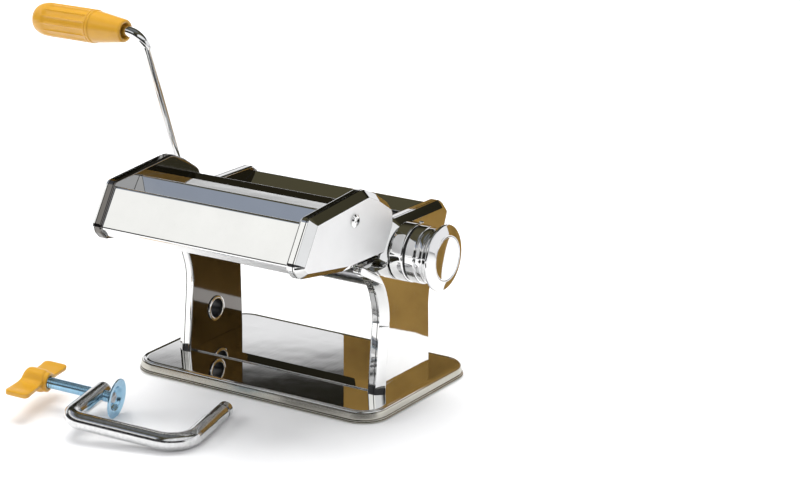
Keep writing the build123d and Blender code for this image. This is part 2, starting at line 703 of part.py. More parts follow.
def clamp_bar():
    """Bent round bar: a grooved key end for the machine's hole, the long side and the threaded eye."""
    key_from = CLAMP_KEY_ARM - 28
    route = [(0, key_from, 0), (0, 0, 0), (-CLAMP_LONG, 0, 0), (-CLAMP_LONG, CLAMP_EYE_ARM - BAR_R, 0)]
    path = FilletPolyline(*route, radius=[19.0, 11.0])
    bar = sweep(Plane(origin=route[0], z_dir=(0, -1, 0)) * Circle(BAR_R), path=path)
    bar += Pos(*route[-1]) * Sphere(BAR_R)
    groove = CLAMP_KEY_ARM - 8
    steps = ((key_from, groove, 5.4), (groove, groove + 2.5, 4.6), (groove + 2.5, CLAMP_KEY_ARM, 5.4))
    for start, stop, radius in steps:
        bar += Pos(0, (start + stop) / 2, 0) * Rot(90, 0, 0) * Cylinder(radius, stop - start)
    bar = fillet(bar.faces().sort_by(Axis.Y)[-1].edges(), 1.2)
    bar -= rod(-CLAMP_LONG - 10, -CLAMP_LONG + 10, CLAMP_EYE, 0, SCREW_R + RUNNING)
    return clamp_place() * bar


def clamp_screw():
    disc_x = -CLAMP_LONG + CLAMP_DISC
    profile = [(-CLAMP_LONG - CLAMP_WING - 6, 0), (-CLAMP_LONG - CLAMP_WING - 6, SCREW_R),
               (disc_x - 3.2, SCREW_R), (disc_x - 3.2, 2.5), (disc_x - 1.4, 2.5), (disc_x - 1.4, 3.6),
               (disc_x - 0.4, 3.2), (disc_x - 0.2, 0)]
    return clamp_place() * turned(profile, 0, CLAMP_EYE, 0)


def clamp_disc():
    """Swivel disc: a dished centre riveted on the screw's neck, and a flat ring round it."""
    disc_x = -CLAMP_LONG + CLAMP_DISC
    profile = [(disc_x - 2.9, 2.55), (disc_x - 2.9, 6.4), (disc_x - 1.2, 8.6), (disc_x, DISC_R - 0.4),
               (disc_x + 0.4, DISC_R), (disc_x + 1.2, DISC_R), (disc_x + 0.4, 8.6), (disc_x - 1.7, 6.0),
               (disc_x - 1.7, 2.55)]
    return clamp_place() * turned(profile, 0, CLAMP_EYE, 0)


def clamp_wing():
    """Moulded wing knob: a hub on the screw and two flat wings."""
    hub_x = -CLAMP_LONG - CLAMP_WING
    hub = rod(hub_x - 9, hub_x + 10, 0, 0, 8.0)
    hub = fillet(hub.edges().filter_by(GeomType.CIRCLE), 1.2)
    wings = Pos(hub_x, 0, 0) * Box(16, 62, 5)
    wings = fillet(wings.edges().filter_by(Axis.Z), 4)
    wings = fillet(wings.faces().filter_by(Axis.Z).edges(), 1.5)
    knob = hub + wings - rod(hub_x - 6, hub_x + 20, 0, 0, SCREW_R)
    return clamp_place() * Pos(0, CLAMP_EYE, 0) * knob


# ---------------------------------------------------------------- all nodes

def build():
    single = [base_tray, base_pad, floor_plate, foot_screws, tie_rods, rear_hood, front_hood,
              front_scraper, rear_scraper, drive_bushes, regulator_bushes, gear_bridge, bridge_spacers,
              clamp_sleeve, knob_pointer, locating_pins, rear_roller, drive_shaft, drive_gear, crank_rod,
              crank_grip, eccentric_axle, axle_stop_ring, front_roller, front_roller_hubs,
              front_roller_bushes, front_gear, knob_skirt, knob_ring, knob_grip, knob_cap,
              knob_index_pin, knob_spring, cutter_front_plate, cutter_middle_plate, cutter_rear_plate,
              cutter_tie_rods, clamp_bar, clamp_screw, clamp_disc, clamp_wing]
    for maker in single:
        save(maker(), maker.__name__)
    for name, side in (("left", -1), ("right", 1)):
        save(side_plate(side), f"{name}_side_plate")
        save(side_cover(side), f"{name}_cover")
        save(cutter_plate(side), f"{name}_cutter_plate")
        save(cutter_cap(side), f"{name}_cutter_cap")
    save(cap_screws(), "cutter_cap_screws")
    save(cutting_set(("wide_front", "wide_rear"), 0, WIDE), "wide_combs")
    save(cutting_set(("narrow_front", "narrow_rear"), 1, NARROW), "narrow_combs")


build()
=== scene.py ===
import json
import math

import bmesh
import bpy
from mathutils import Matrix, Vector


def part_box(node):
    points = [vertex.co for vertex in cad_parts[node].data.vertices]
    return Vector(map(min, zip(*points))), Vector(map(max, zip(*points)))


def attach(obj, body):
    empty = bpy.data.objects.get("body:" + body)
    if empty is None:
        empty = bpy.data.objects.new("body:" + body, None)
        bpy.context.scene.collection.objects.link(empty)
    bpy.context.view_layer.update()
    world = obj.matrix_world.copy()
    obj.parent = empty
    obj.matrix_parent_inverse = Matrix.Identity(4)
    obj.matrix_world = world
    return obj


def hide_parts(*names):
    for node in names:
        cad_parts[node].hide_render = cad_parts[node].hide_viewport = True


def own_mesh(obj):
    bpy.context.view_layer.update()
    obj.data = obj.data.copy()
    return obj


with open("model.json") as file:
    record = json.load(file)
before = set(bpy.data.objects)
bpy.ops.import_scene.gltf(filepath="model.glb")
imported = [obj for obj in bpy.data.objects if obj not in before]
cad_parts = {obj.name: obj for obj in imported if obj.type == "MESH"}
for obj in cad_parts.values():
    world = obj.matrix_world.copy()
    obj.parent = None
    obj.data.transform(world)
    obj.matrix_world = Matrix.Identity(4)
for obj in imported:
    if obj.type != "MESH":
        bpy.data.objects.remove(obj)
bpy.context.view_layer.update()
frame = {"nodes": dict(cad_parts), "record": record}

NODES = frame["nodes"]
MM = 0.001

# Camera: degrees, metres, and millimetres of lens
CAMERA_AZIMUTH = 32.516
CAMERA_ELEVATION = 17.711
CAMERA_ROLL = 0.214
CAMERA_PLACE = (0.96351, -1.38240, 0.62635)
CAMERA_LENS = 114.634
SENSOR_WIDTH = 36.0

# Stage, in metres: the floor, a warm board behind the machine and a dark cloth in front of it
FLOOR_HALF = 6.0
BOARD_LEFT = (-0.035, 0.106)
BOARD_CORNER = (0.181, 0.110)
BOARD_FAR = (0.222, 0.240)
BOARD_HEIGHT = 0.155
CLOTH_AHEAD = (0.34, 1.05)
CLOTH_ACROSS = (-0.40, 0.28)
CLOTH_LIFT = 0.001

# Sky colours, and each height (the sine of the elevation) at which one fades into the next
REAR_HORIZON = (0.95, 0.95, 0.97)
FRONT_HORIZON = (0.045, 0.045, 0.047)
SKY_BANDS = [
    ((0.335, 0.352), (0.012, 0.011, 0.007)),
    ((0.45, 0.80), (0.085, 0.077, 0.045)),
    ((0.86, 0.97), (0.16, 0.17, 0.18)),
]

# Light panels: bottom edge, top edge, heading, side edge and colour
SKY_PANELS = [
    ((0.47, 0.51), (0.66, 0.62), (-0.80, -0.60), (0.42, 0.50), (1.15, 1.15, 1.13)),
    ((0.60, 0.66), (0.82, 0.76), (-0.80, -0.60), (0.30, 0.36), (0.31, 0.35, 0.43)),
    ((0.36, 0.42), (0.86, 0.80), (0.97, -0.25), (0.55, 0.62), (0.95, 0.96, 0.98)),
]

# Shape details, in millimetres
TRAY_CORNER = 20.0
GRIP_FLUTES = 14
FLUTE_DEPTH = 0.85
SPRING_WIRE = 0.5
SPRING_TURNS = 5
THREAD_PITCH = 1.25
THREAD_DEPTH = 0.36
THREAD_RADIUS = 3.95
DISC_RADIUS = 13.75
WING_REACH = 31.0
WING_HUB = 8.0


# ---------------------------------------------------------------- materials

class Look:
    """A procedural material with a Principled shader and short calls for its nodes."""

    def __init__(self, name, color, metallic, roughness, coat=0.0, ior=1.5):
        self.material = bpy.data.materials.new(name)
        self.material.use_nodes = True
        self.tree = self.material.node_tree
        self.shader = self.tree.nodes["Principled BSDF"]
        self.shader.inputs["Base Color"].default_value = (*color, 1)
        self.shader.inputs["Metallic"].default_value = metallic
        self.shader.inputs["Roughness"].default_value = roughness
        self.shader.inputs["IOR"].default_value = ior
        self.shader.inputs["Coat Weight"].default_value = coat
        self.place = self.node("ShaderNodeTexCoord").outputs["Object"]

    def node(self, kind, **inputs):
        made = self.tree.nodes.new(kind)
        for key, value in inputs.items():
            made.inputs[key.replace("_", " ")].default_value = value
        return made

    def link(self, output, target):
        self.tree.links.new(output, target)

    def stretched(self, scale):
        """Object coordinates in metres, scaled by three factors."""
        mapping = self.node("ShaderNodeMapping")
        mapping.inputs["Scale"].default_value = scale
        self.link(self.place, mapping.inputs["Vector"])
        return mapping.outputs["Vector"]

    def noise(self, scale, detail=4.0, vector=None, roughness=0.55):
        noise = self.node("ShaderNodeTexNoise", Scale=scale, Detail=detail, Roughness=roughness)
        self.link(vector or self.place, noise.inputs["Vector"])
        return noise.outputs["Fac"]

    def ramp(self, factor, stops):
        ramp = self.node("ShaderNodeValToRGB")
        ramp.color_ramp.elements[0].position = stops[0][0]
        ramp.color_ramp.elements[1].position = stops[-1][0]
        for place, _ in stops[1:-1]:
            ramp.color_ramp.elements.new(place)
        for element, (_, color) in zip(ramp.color_ramp.elements, stops):
            element.color = (*color, 1)
        self.link(factor, ramp.inputs["Fac"])
        return ramp.outputs["Color"]

    def span(self, factor, low, high):
        """The factor's 0 to 1 as low to high."""
        span = self.node("ShaderNodeMapRange")
        span.inputs["To Min"].default_value = low
        span.inputs["To Max"].default_value = high
        self.link(factor, span.inputs["Value"])
        return span.outputs["Result"]

    def bump(self, height, strength, distance):
        bump = self.node("ShaderNodeBump", Strength=strength, Distance=distance)
        self.link(height, bump.inputs["Height"])
        if self.shader.inputs["Normal"].is_linked:
            self.link(self.shader.inputs["Normal"].links[0].from_socket, bump.inputs["Normal"])
        self.link(bump.outputs["Normal"], self.shader.inputs["Normal"])


def chrome(name, tint, roughness, waviness, scratches=0.05, metallic=1.0):
    """Polished plate: faint waves in the sheet, fine wipe marks and a slightly uneven polish."""
    look = Look(name, tint, metallic, roughness)
    cloud = look.noise(38.0, 5.0)
    look.link(look.ramp(cloud, [(0.3, tuple(c * 0.94 for c in tint)), (0.75, tint)]),
              look.shader.inputs["Base Color"])
    look.link(look.span(look.noise(160.0, 6.0), roughness * 0.6, roughness * 1.6),
              look.shader.inputs["Roughness"])
    look.bump(look.noise(21.0, 2.0), waviness, 0.0012)
    look.bump(look.noise(900.0, 3.0, look.stretched((1.0, 0.06, 0.4))), scratches, 0.00004)
    return look.material


def brushed(name, tint, roughness, grain, depth=0.15):
    """Satin metal with its grain drawn out along one direction."""
    look = Look(name, tint, 1.0, roughness)
    lines = look.noise(1.0, 5.0, look.stretched(grain))
    look.link(look.ramp(lines, [(0.25, tuple(c * 0.8 for c in tint)), (0.8, tint)]),
              look.shader.inputs["Base Color"])
    look.link(look.span(lines, roughness * 0.75, roughness * 1.35), look.shader.inputs["Roughness"])
    look.bump(lines, depth, 0.00008)
    look.bump(look.noise(45.0, 3.0), 0.05, 0.0008)
    return look.material


def plastic(name, color, dark, roughness, pebble=0.08):
    """Moulded plastic: slight cloudiness in the colour, fine surface texture and flow waves."""
    look = Look(name, color, 0.0, roughness, coat=0.15)
    look.shader.inputs["Coat Roughness"].default_value = 0.2
    look.shader.inputs["Subsurface Weight"].default_value = 0.06
    look.shader.inputs["Subsurface Radius"].default_value = (0.004, 0.002, 0.0008)
    cloud = look.noise(55.0, 5.0)
    look.link(look.ramp(cloud, [(0.25, dark), (0.7, color)]), look.shader.inputs["Base Color"])
    look.link(look.span(look.noise(300.0, 4.0), roughness * 0.8, roughness * 1.3),
              look.shader.inputs["Roughness"])
    look.bump(look.noise(1400.0, 3.0), pebble, 0.00008)
    look.bump(look.noise(60.0, 2.0), 0.12, 0.0006)
    return look.material


def mottled(name, tint, roughness):
    """Plated bar stock whose mirror is broken up by fine drawing marks."""
    look = Look(name, tint, 1.0, roughness)
    fleck = look.noise(420.0, 6.0)
    look.link(look.ramp(fleck, [(0.3, tuple(c * 0.8 for c in tint)), (0.7, tint)]),
              look.shader.inputs["Base Color"])
    look.link(look.span(look.noise(260.0, 5.0), roughness * 0.5, roughness * 1.9),
              look.shader.inputs["Roughness"])
    look.bump(fleck, 0.12, 0.0002)
    look.bump(look.noise(70.0, 3.0), 0.08, 0.0006)
    return look.material


def rubber(name):
    look = Look(name, (0.03, 0.03, 0.032), 0.0, 0.75)
    grit = look.noise(900.0, 4.0)
    look.link(look.ramp(grit, [(0.3, (0.018, 0.018, 0.02)), (0.8, (0.055, 0.055, 0.058))]),
              look.shader.inputs["Base Color"])
    look.bump(grit, 0.5, 0.0002)
    return look.material


def make_materials():
    return {
        "chrome": chrome("chrome", (0.83, 0.83, 0.82), 0.035, 0.10),
        "chrome_flat": chrome("chrome_flat", (0.80, 0.80, 0.79), 0.03, 0.035),
        # A copy of chrome with its tint cut to about a fifth: painted shade, for the left plates and the
        # cutter's rear plate
        "chrome_painted_shade": chrome("chrome_painted_shade", (0.17, 0.16, 0.15), 0.05, 0.03),
        # A copy of chrome at half its tint: painted shade on the flat outer faces of the left cutter plate
        "chrome_dim_painted_shade": chrome("chrome_dim_painted_shade", (0.42, 0.42, 0.42), 0.06, 0.03),
        "chrome_turned": chrome("chrome_turned", (0.84, 0.84, 0.84), 0.035, 0.02),
        # Satin chrome with its colour whitened and only partly metallic: a satin finish plus a painted
        # highlight, for the flat face of the right cutter cap
        "satin_painted_highlight": chrome("satin_painted_highlight", (0.95, 0.95, 0.95), 0.40, 0.02, metallic=0.3),
        "chrome_rod": chrome("chrome_rod", (0.86, 0.86, 0.86), 0.05, 0.06),
        "chrome_bar": mottled("chrome_bar", (0.78, 0.78, 0.78), 0.13),
        "satin_rim": brushed("satin_rim", (0.56, 0.54, 0.48), 0.2, (14.0, 14.0, 900.0), 0.1),
        "steel": brushed("steel", (0.55, 0.55, 0.56), 0.28, (60.0, 900.0, 900.0)),
        "roller_steel": brushed("roller_steel", (0.72, 0.72, 0.73), 0.17, (1500.0, 25.0, 25.0)),
        "zinc_blue": brushed("zinc_blue", (0.40, 0.67, 0.88), 0.17, (240.0, 240.0, 240.0)),
        "yellow_plastic": plastic("yellow_plastic", (0.66, 0.345, 0.032), (0.58, 0.29, 0.022), 0.3),
        # Near black, used only for painted shade: inside the clamp hole's bore and in the groove ring of the
        # knob
        "black_plastic": plastic("black_plastic", (0.012, 0.012, 0.012), (0.006, 0.006, 0.006), 0.3),
        "rubber": rubber("rubber"),
        "bronze": brushed("bronze", (0.62, 0.42, 0.18), 0.35, (300.0, 300.0, 300.0)),
        "nylon": plastic("nylon", (0.75, 0.74, 0.69), (0.68, 0.67, 0.62), 0.45),
    }


# ---------------------------------------------------------------- stage

class Sky:
    """World shader nodes that lay colours over each other by direction."""

    def __init__(self, tree):
        self.nodes, self.links = tree.nodes, tree.links
        self.toward = self.nodes.new("ShaderNodeTexCoord").outputs["Generated"]
        split = self.nodes.new("ShaderNodeSeparateXYZ")
        self.links.new(self.toward, split.inputs["Vector"])
        self.height = split.outputs["Z"]

    def smooth(self, value, edge):
        """0 to 1 as the value passes from the edge's first number to its second."""
        step = self.nodes.new("ShaderNodeMapRange")
        step.interpolation_type = "SMOOTHSTEP"
        step.inputs["From Min"].default_value = edge[0]
        step.inputs["From Max"].default_value = edge[1]
        self.links.new(value, step.inputs["Value"])
        return step.outputs["Result"]

    def along(self, x, y):
        """How far the direction leans towards a level heading."""
        dot = self.nodes.new("ShaderNodeVectorMath")
        dot.operation = "DOT_PRODUCT"
        dot.inputs[1].default_value = (x, y, 0)
        self.links.new(self.toward, dot.inputs[0])
        return dot.outputs["Value"]

    def times(self, first, second):
        product = self.nodes.new("ShaderNodeMath")
        product.operation = "MULTIPLY"
        self.links.new(first, product.inputs[0])
        self.links.new(second, product.inputs[1])
        return product.outputs[0]

    def panel(self, bottom, top, heading, side):
        """Mask of a light panel with soft edges."""
        band = self.times(self.smooth(self.height, bottom), self.smooth(self.height, top))
        return self.times(band, self.smooth(self.along(*heading), side))

    def over(self, below, factor, color):
        mix = self.nodes.new("ShaderNodeMix")
        mix.data_type = "RGBA"
        self.links.new(factor, mix.inputs["Factor"])
        if isinstance(below, tuple):
            mix.inputs["A"].default_value = (*below, 1)
        else:
            self.links.new(below, mix.inputs["A"])
        mix.inputs["B"].default_value = (*color, 1)
        return mix.outputs["Result"]


def studio_world():
    """Pale at the rear horizon, dim in front and above, with light panels; the camera sees plain white."""
    world = bpy.data.worlds.new("studio")
    bpy.context.scene.world = world
    world.use_nodes = True
    sky = Sky(world.node_tree)
    color = sky.over(REAR_HORIZON, sky.smooth(sky.along(0, -1), (-0.05, 0.05)), FRONT_HORIZON)
    for edge, tint in SKY_BANDS:
        color = sky.over(color, sky.smooth(sky.height, edge), tint)
    for bottom, top, heading, side, tint in SKY_PANELS:
        color = sky.over(color, sky.panel(bottom, top, heading, side), tint)
    seen = sky.nodes.new("ShaderNodeLightPath").outputs["Is Camera Ray"]
    color = sky.over(color, seen, (1.0, 1.0, 1.0))
    sky.links.new(color, sky.nodes["Background"].inputs["Color"])


def lamp(name, place, size, power):
    """A soft area light that looks at the object's middle and isn't mirrored in the chrome."""
    data = bpy.data.lights.new(name, "AREA")
    data.shape = "DISK"
    data.size = size
    data.energy = power
    light = bpy.data.objects.new(name, data)
    bpy.context.collection.objects.link(light)
    light.location = place
    light.rotation_euler = (Vector((0, 0, 0.06)) - Vector(place)).to_track_quat("-Z", "Y").to_euler()
    light.visible_glossy = False
    light.visible_camera = False


def plane(name, corners):
    mesh = bpy.data.meshes.new(name)
    mesh.from_pydata(corners, [], [tuple(range(len(corners)))])
    thing = bpy.data.objects.new(name, mesh)
    bpy.context.collection.objects.link(thing)
    return thing


def build_stage():
    studio_world()
    half = FLOOR_HALF
    floor = plane("floor", [(-half, -half, 0), (half, -half, 0), (half, half, 0), (-half, half, 0)])
    look = Look("paper", (0.93, 0.93, 0.94), 0.0, 0.9)
    look.shader.inputs["Specular IOR Level"].default_value = 0.0
    tones = [(0.3, (0.925, 0.925, 0.935)), (0.7, (0.94, 0.94, 0.945))]
    look.link(look.ramp(look.noise(30.0, 3.0), tones), look.shader.inputs["Base Color"])
    floor.data.materials.append(look.material)
    lamp("overhead", (-0.5, 0.7, 2.3), 2.6, 78.0)
    lamp("left_fill", (-1.5, -0.9, 1.1), 1.1, 12.0)
    lamp("front_fill", (0.6, -1.6, 1.3), 1.2, 12.0)


def reflector(name, corners, color, dark):
    """A studio card that only shows in reflections."""
    card = plane(name, corners)
    look = Look(name, color, 0.0, 0.9)
    look.link(look.ramp(look.noise(30.0, 5.0), [(0.3, dark), (0.72, color)]),
              look.shader.inputs["Base Color"])
    card.data.materials.append(look.material)
    card.visible_camera = False
    card.visible_diffuse = False
    card.visible_shadow = False


def build_reflectors():
    """A warm board close behind the machine and a dark cloth in front, which the chrome mirrors."""
    for name, (x0, y0), (x1, y1) in (("warm_front", BOARD_LEFT, BOARD_CORNER),
                                     ("warm_side", BOARD_CORNER, BOARD_FAR)):
        corners = [(x0, y0, 0), (x1, y1, 0), (x1, y1, BOARD_HEIGHT), (x0, y0, BOARD_HEIGHT)]
        reflector(name, corners, (0.42, 0.25, 0.06), (0.28, 0.16, 0.035))
    near, far = CLOTH_AHEAD
    left, right = CLOTH_ACROSS
    turn = Matrix.Rotation(math.radians(CAMERA_AZIMUTH), 4, "Z")
    places = ((left, near), (right, near), (right, far), (left, far))
    cloth = [turn @ Vector((across, -ahead, CLOTH_LIFT)) for across, ahead in places]
    reflector("dark_cloth", cloth, (0.012, 0.012, 0.011), (0.006, 0.006, 0.005))


def build_camera():
    """The photograph's viewing angle: a long lens at the front right, a little above."""
    data = bpy.data.cameras.new("camera")
    data.sensor_width = SENSOR_WIDTH
    data.lens = CAMERA_LENS
    data.clip_end = 20.0
    camera = bpy.data.objects.new("camera", data)
    bpy.context.collection.objects.link(camera)
    camera.location = CAMERA_PLACE
    turn = Matrix.Rotation(math.radians(CAMERA_AZIMUTH), 4, "Z")
    turn = turn @ Matrix.Rotation(math.radians(90 - CAMERA_ELEVATION), 4, "X")
    camera.rotation_euler = (turn @ Matrix.Rotation(math.radians(CAMERA_ROLL), 4, "Z")).to_euler()
    bpy.context.scene.camera = camera


# ---------------------------------------------------------------- mesh building

def make_piece(name, vertices, faces, look, body, *nodes):
    """A smooth-shaded mesh that rides on a body and stands for the named CAD nodes."""
    mesh = bpy.data.meshes.new(name)
    mesh.from_pydata(vertices, [], faces)
    return settle(name, mesh, look, body, *nodes)


def settle(name, mesh, look, body, *nodes, rounding=0.0, angle=28.0):
    """Rounds sharp edges, keeps flat faces flat in the shading, and makes the piece ride."""
    mesh.materials.clear()
    mesh.materials.append(look)
    mesh.shade_smooth()
    mesh.set_sharp_from_angle(angle=math.radians(34))
    rough = bpy.data.objects.new(name + "_rough", mesh)
    bpy.context.collection.objects.link(rough)
    if rounding:
        bevel = rough.modifiers.new("round", "BEVEL")
        bevel.width = rounding * MM
        bevel.segments = 3
        bevel.limit_method = "ANGLE"
        bevel.angle_limit = math.radians(angle)
        bevel.miter_outer = "MITER_ARC"
    weights = rough.modifiers.new("weights", "WEIGHTED_NORMAL")
    weights.weight = 100
    weights.keep_sharp = True
    evaluated = rough.evaluated_get(bpy.context.evaluated_depsgraph_get())
    final = bpy.data.meshes.new_from_object(evaluated)
    final.name = name
    bpy.data.objects.remove(rough)
    piece = bpy.data.objects.new(name, final)
    bpy.context.collection.objects.link(piece)
    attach(piece, body)
    if nodes:
        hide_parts(*nodes)
    return piece


def spun(profile, segments, shape=None):
    """Vertices and faces of a turned form: profile holds (distance along, radius) in millimetres.

    shape(along, angle, radius) may change the radius round the form, for flutes and threads.
    """
    vertices, faces = [], []
    for along, radius in profile:
        for step in range(segments):
            angle = 2 * math.pi * step / segments
            out = shape(along, angle, radius) if shape else radius
            vertices.append((along, out * math.cos(angle), out * math.sin(angle)))
    for ring in range(len(profile) - 1):
        for step in range(segments):
            near, far = ring * segments, (ring + 1) * segments
            after = (step + 1) % segments
            faces.append((near + step, near + after, far + after, far + step))
    for ring, flip in ((0, True), (len(profile) - 1, False)):
        if profile[ring][1] > 0.01:
            loop = [ring * segments + step for step in range(segments)]
            faces.append(tuple(reversed(loop)) if flip else tuple(loop))
    return vertices, faces


def placed(vertices, matrix):
    """Millimetre vertices carried into the frame by a matrix whose translation is in metres."""
    return [matrix @ (Vector(v) * MM) for v in vertices]


def along_x(centre):
    return Matrix.Translation(centre)


def screw_frame(point, axis):
    """Axes with X along the clamp's screw, Y level and Z up."""
    x = Vector(axis).normalized()
    y = Vector((-x.y, x.x, 0)).normalized()
    z = x.cross(y)
    turn = Matrix((x, y, z)).transposed().to_4x4()
    return Matrix.Translation(point) @ turn


def middle(node):
    low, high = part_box(node)
    return (low + high) / 2


def joint_record(name):
    return next(joint for joint in frame["record"]["behaviour"]["joints"] if joint["name"] == name)


def smoothstep(value, low, high):
    t = min(max((value - low) / (high - low), 0.0), 1.0)
    return t * t * (3 - 2 * t)


def superellipse(half_x, half_z, power, count):
    points = []
    for step in range(count):
        angle = 2 * math.pi * step / count
        c, s = math.cos(angle), math.sin(angle)
        points.append((math.copysign(half_x * abs(c) ** (2 / power), c),
                       math.copysign(half_z * abs(s) ** (2 / power), s)))
    return points


# ---------------------------------------------------------------- refined CAD shapes

def refined(node, body, look, width):
    """A copy of a CAD node with its sharp edges rounded as pressed or turned metal is."""
    mesh = NODES[node].data.copy()
    form = bmesh.new()
    form.from_mesh(mesh)
    bmesh.ops.remove_doubles(form, verts=form.verts, dist=2e-6)
    bmesh.ops.dissolve_limit(form, angle_limit=math.radians(0.8), verts=form.verts, edges=form.edges)
    form.to_mesh(mesh)
    form.free()
    return settle(node + "_formed", mesh, look, body, node, rounding=width)


def paint_light_on_flat(side, look):
    """Gives the flat faces that look to +X another material than the rims and bevels round them: darker
    chrome as painted shade, or whitened satin as a painted highlight.
    """
    side.data.materials.append(look)
    for face in side.data.polygons:
        if face.normal.x > 0.97:
            face.material_index = 1


def build_sleeve(looks):
    """Sleeve of the clamp hole: a bright rolled rim and a near-black bore, its colour painted shade inside
    the hole.
    """
    low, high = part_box("clamp_sleeve")
    centre = (low + high) / 2
    start, stop = low.x / MM, high.x / MM
    rim = [(stop - 1.2, 8.6), (stop - 1.1, 9.0), (stop - 0.7, 9.2), (stop - 0.3, 9.05), (stop - 0.05, 8.5),
           (stop, 7.9), (stop - 0.05, 7.3), (stop - 0.3, 6.95), (stop - 0.8, 6.78), (stop - 1.4, 6.75)]
    bore = [(stop - 1.4, 6.75), (start + 1.0, 6.75), (start + 0.3, 6.9), (start, 7.25), (start + 0.3, 7.7),
            (start + 1.5, 7.8), (stop - 1.2, 7.8)]
    place = along_x((0, centre.y, centre.z))
    # The bore's near-black colour is painted shade inside the hole
    for name, profile, look, nodes in (("clamp_hole_rim", rim, "chrome", ["clamp_sleeve"]),
                                       ("clamp_hole_bore", bore, "black_plastic", [])):
        vertices, faces = spun(profile, 72)
        faces = [tuple(reversed(face)) for face in faces[:-2]]
        make_piece(name, placed(vertices, place), faces, looks[look], "frame", *nodes)


# ---------------------------------------------------------------- base

def rim_outline(half_x, half_y, radius, inset):
    """Rounded rectangle in metres, moved inwards by the inset."""
    points = []
    corner = radius - inset
    for quarter, (sx, sy) in enumerate(((1, 1), (-1, 1), (-1, -1), (1, -1))):
        for step in range(17):
            angle = math.pi / 2 * (quarter + step / 16)
            points.append(((sx * (half_x - radius) + corner * math.cos(angle)) * MM,
                           (sy * (half_y - radius) + corner * math.sin(angle)) * MM))
    return points


def build_tray(looks):
    """Pressed tray: two thin lips, a sloped satin band, a bead and a flat mirror top."""
    _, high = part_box("base_tray")
    half_x, half_y, top = high.x / MM, high.y / MM, high.z / MM
    profile = [(0.75, 0.42), (0.22, 0.42), (0.03, 0.58), (0.0, 0.85), (0.08, 1.12), (0.42, 1.28),
               (0.85, 1.36), (0.85, 1.52), (0.52, 1.62), (0.36, 1.85), (0.36, 2.15), (0.5, 2.42),
               (0.95, 2.56), (1.2, 2.66), (1.2, 2.84), (0.86, 3.0), (0.9, 3.3), (1.55, 6.6), (1.72, 7.0),
               (2.15, 7.14), (2.22, 7.36), (2.4, 7.78), (2.75, 8.06), (3.2, 8.18), (3.7, 8.1), (4.1, 7.86),
               (4.35, 7.66), (4.75, 7.62), (5.1, 7.82), (5.5, 7.98), (6.2, 8.0)]
    vertices, faces = [], []
    for inset, height in profile:
        ring = rim_outline(half_x, half_y, TRAY_CORNER, inset)
        vertices += [(x, y, (height + top - 8.0) * MM) for x, y in ring]
    count = len(vertices) // len(profile)
    for ring in range(len(profile) - 1):
        for step in range(count):
            after = (step + 1) % count
            faces.append((ring * count + step, ring * count + after,
                          (ring + 1) * count + after, (ring + 1) * count + step))
    top_ring = (len(profile) - 1) * count
    faces.append(tuple(top_ring + step for step in range(count)))
    tray = make_piece("pressed_tray", vertices, faces, looks["satin_rim"], "frame", "base_tray")
    tray.data.materials.append(looks["chrome_flat"])
    for face in tray.data.polygons:
        if face.center.z > (top - 0.45) * MM:
            face.material_index = 1


# ---------------------------------------------------------------- crank grip

def build_grip(looks):
    """Moulded grip: recess round the bar, smooth cone, raised ring, fluted barrel and domed end."""
    low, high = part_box("crank_grip")
    length = (high.x - low.x) / MM
    full = (high.z - low.z) / 2 / MM
    profile = [(6.0, 3.9), (5.6, 4.6), (4.6, 5.25), (1.2, 5.35), (0.5, 5.6), (0.1, 6.1), (0.0, 6.6),
               (0.05, 7.0), (0.35, 7.6), (0.9, 8.0), (2.0, 8.25)]
    profile += [(2.0 + 22.6 * t / 8, 8.25 + (full - 0.75 - 8.25) * t / 8) for t in range(1, 9)]
    profile += [(25.3, full - 0.6), (25.6, full - 0.25), (26.0, full - 0.05), (26.6, full),
                (27.2, full - 0.1), (27.6, full - 0.3), (27.9, full - 0.45)]
    barrel_end = length - 11.5
    profile += [(28.3 + (barrel_end - 28.3) * t / 30, full - 0.08) for t in range(31)]
    dome = length - barrel_end
    for step in range(1, 13):
        angle = math.pi / 2 * step / 12
        profile.append((barrel_end + dome * math.sin(angle) ** 1.15,
                        (full - 0.08) * max(math.cos(angle), 0.0) ** 0.42))

    def fluted(along, angle, radius):
        share = abs((angle * GRIP_FLUTES / (2 * math.pi)) % 1.0 * 2 - 1)
        depth = smoothstep(along, 28.2, 30.5) * (1 - smoothstep(along, barrel_end - 3.0, barrel_end))
        return radius - FLUTE_DEPTH * depth * (1 - share ** 3.2)

    vertices, faces = spun(profile, GRIP_FLUTES * 14, fluted)
    centre = middle("crank_grip")
    turned = [(-along, across, up) for along, across, up in vertices]
    flipped = [tuple(reversed(face)) for face in faces]
    place = along_x((high.x, centre.y, centre.z))
    make_piece("moulded_grip", placed(turned, place), flipped, looks["yellow_plastic"], "grip", "crank_grip")


# ---------------------------------------------------------------- knob

